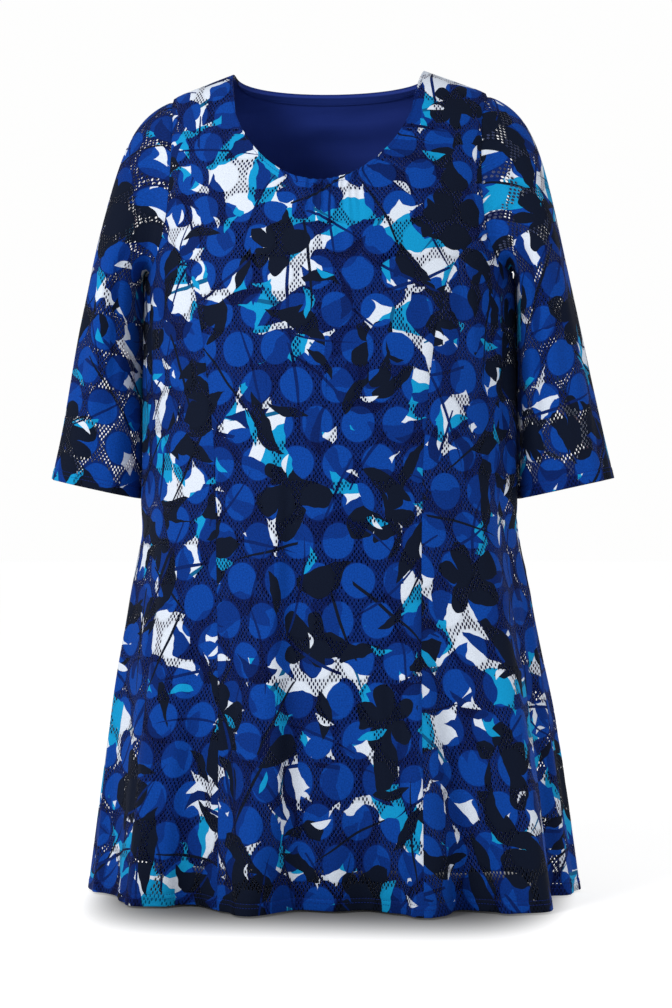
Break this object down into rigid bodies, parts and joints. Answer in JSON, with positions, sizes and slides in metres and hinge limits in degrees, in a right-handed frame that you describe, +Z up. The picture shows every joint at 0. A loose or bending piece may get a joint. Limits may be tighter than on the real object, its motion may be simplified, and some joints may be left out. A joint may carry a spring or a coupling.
{
  "type": "a-line dress",
  "caption": "Knit a-line dress: scoop neck, elbow sleeves, princess seams and a flared hem in loose folds, hollow as worn.",
  "frame": {"origin": "midway between the two neck points, on the shoulder line where the wearer holds the dress", "axes": "+Z up along the body, front at -Y, the wearer's left at +X"},
  "size_m": [0.638, 0.339, 0.9218],
  "materials": {
    "printed_knit": "printed net jacquard knit",
    "lining_knit": "plain navy jersey",
    "neck_tape": "plain navy tape"
  },
  "bodies": {
    "root": {"front_center_panel": "printed_knit", "front_side_panel_left": "printed_knit", "front_side_panel_right": "printed_knit", "back_panel": "printed_knit", "sleeve_left": "printed_knit", "sleeve_right": "printed_knit", "lining_front": "lining_knit", "lining_back": "lining_knit", "back_neck_tape": "neck_tape"}
  },
  "joints": []
}
